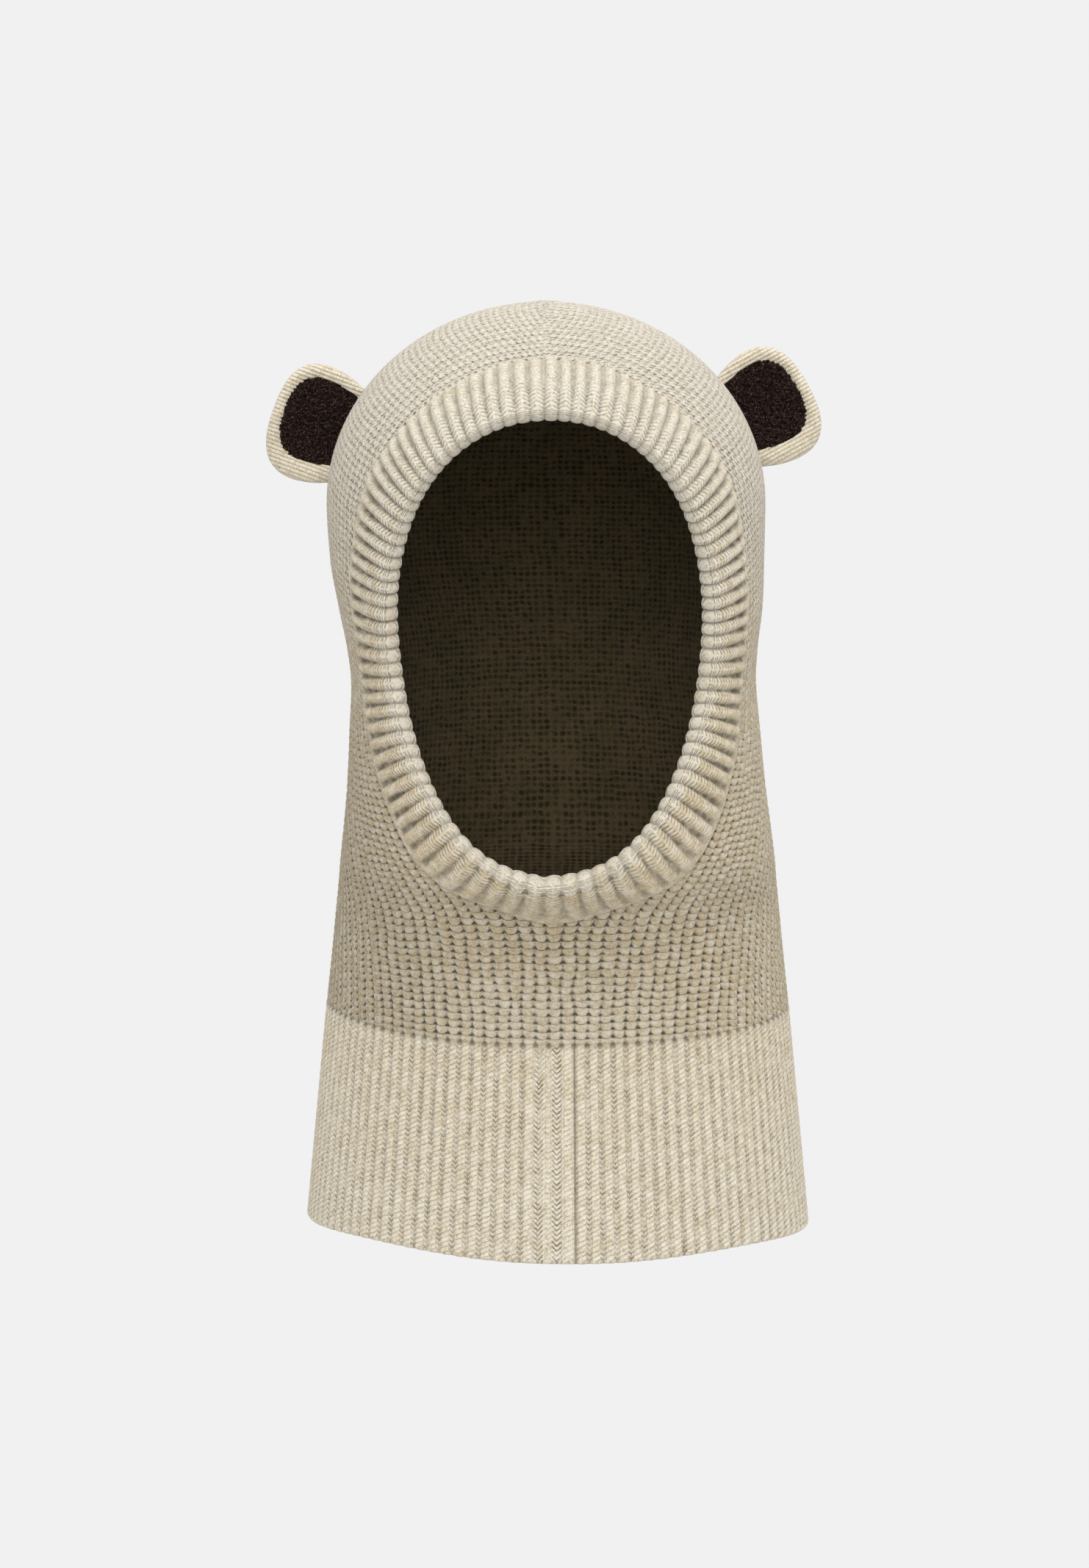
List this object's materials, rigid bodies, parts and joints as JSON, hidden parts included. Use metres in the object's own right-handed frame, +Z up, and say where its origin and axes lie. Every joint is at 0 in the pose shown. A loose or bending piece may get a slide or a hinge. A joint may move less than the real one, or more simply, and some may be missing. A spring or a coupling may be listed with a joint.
{
  "type": "baby hat with ears",
  "caption": "Knitted baby balaclava that covers the head and neck, with a ribbed band round the face, a ribbed hem and two round animal ears.",
  "frame": {"origin": "top of the inside of the crown, where the top of the wearer's head touches it", "axes": "+Z up, the face opening towards -Y, the wearer's left towards +X"},
  "size_m": [0.1844, 0.1641, 0.3079],
  "materials": {
    "beige_knit": "matt wool knit",
    "olive_brown_lining": "matt wool knit",
    "dark_brown_boucle": "curled boucle cloth"
  },
  "bodies": {
    "root": {"hood_knit": "beige_knit", "lining_knit": "olive_brown_lining", "face_band": "beige_knit", "hem_band": "beige_knit", "ear_left": "beige_knit", "ear_left_patch": "dark_brown_boucle", "ear_right": "beige_knit", "ear_right_patch": "dark_brown_boucle"}
  },
  "joints": []
}
